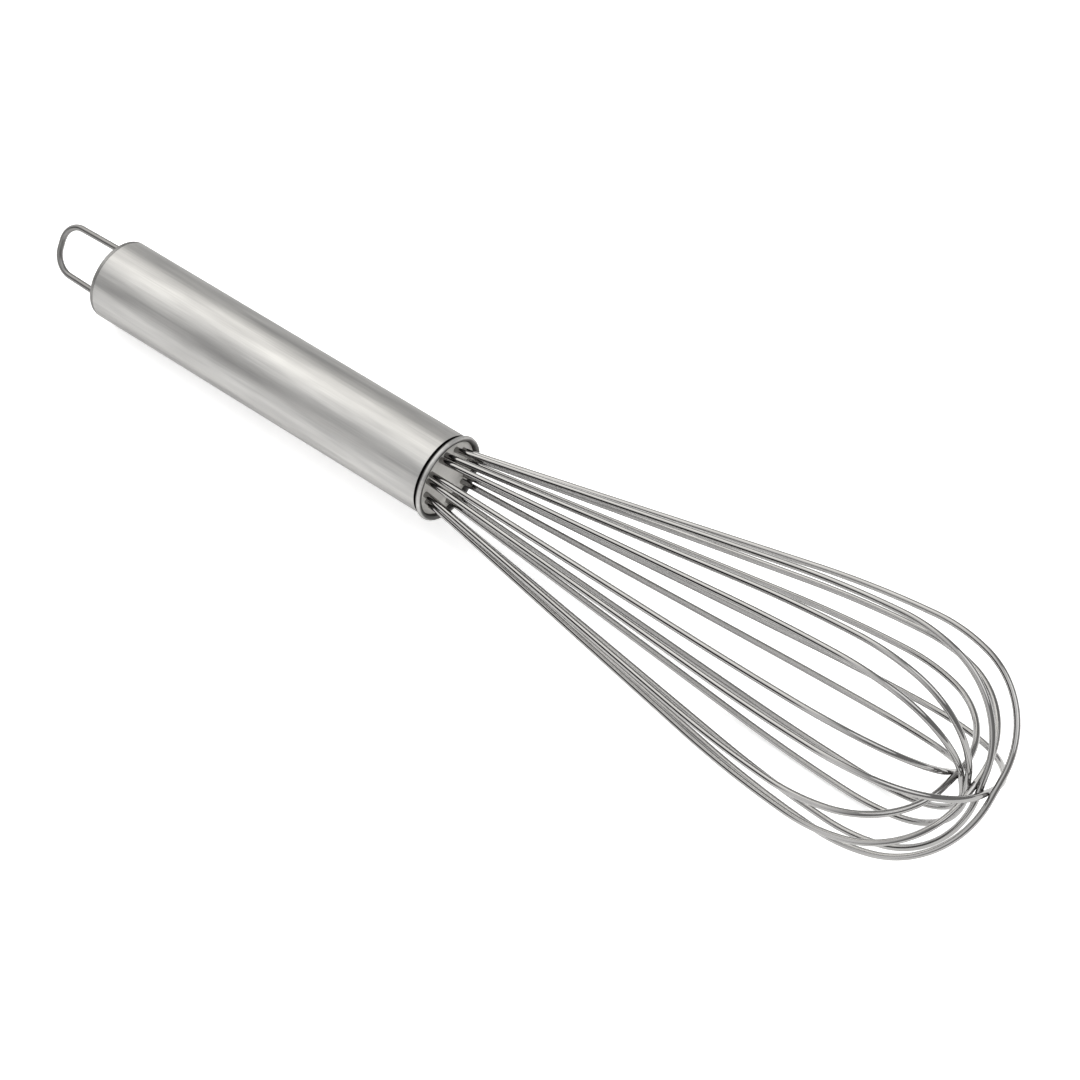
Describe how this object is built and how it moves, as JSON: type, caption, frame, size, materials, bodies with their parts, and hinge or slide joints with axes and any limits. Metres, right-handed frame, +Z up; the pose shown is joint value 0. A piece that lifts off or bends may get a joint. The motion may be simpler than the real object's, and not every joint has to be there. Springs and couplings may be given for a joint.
{
  "type": "balloon whisk",
  "caption": "Hand whisk: a steel tube handle with a hanging loop, and a balloon of wire loops set in resin in its mouth.",
  "frame": {"origin": "on the surface the whisk lies on, below the middle of its box", "axes": "+X along the whisk from the hanging loop to the wire tip, +Z up; the handle's axis rises 3.32 degrees towards the tip, because the whisk rests on its cap's edge and its lowest strands"},
  "size_m": [0.3102, 0.0576, 0.0584],
  "materials": {
    "handle_steel": "satin, ground along its length",
    "wire_steel": "bright drawn stainless wire, polished",
    "seal_grey": "moulded, matt",
    "resin": "cast epoxy resin",
    "stop_plastic": "moulded, matt"
  },
  "bodies": {
    "root": {"handle_tube": "handle_steel", "end_cap": "handle_steel", "hanging_loop": "wire_steel", "sealing_disc": "seal_grey", "resin_core": "resin", "resin_stop": "stop_plastic", "whisk_wire_1": "wire_steel", "whisk_wire_2": "wire_steel", "whisk_wire_3": "wire_steel", "whisk_wire_4": "wire_steel", "whisk_wire_5": "wire_steel", "whisk_wire_6": "wire_steel", "whisk_wire_7": "wire_steel", "whisk_wire_8": "wire_steel"}
  },
  "joints": []
}
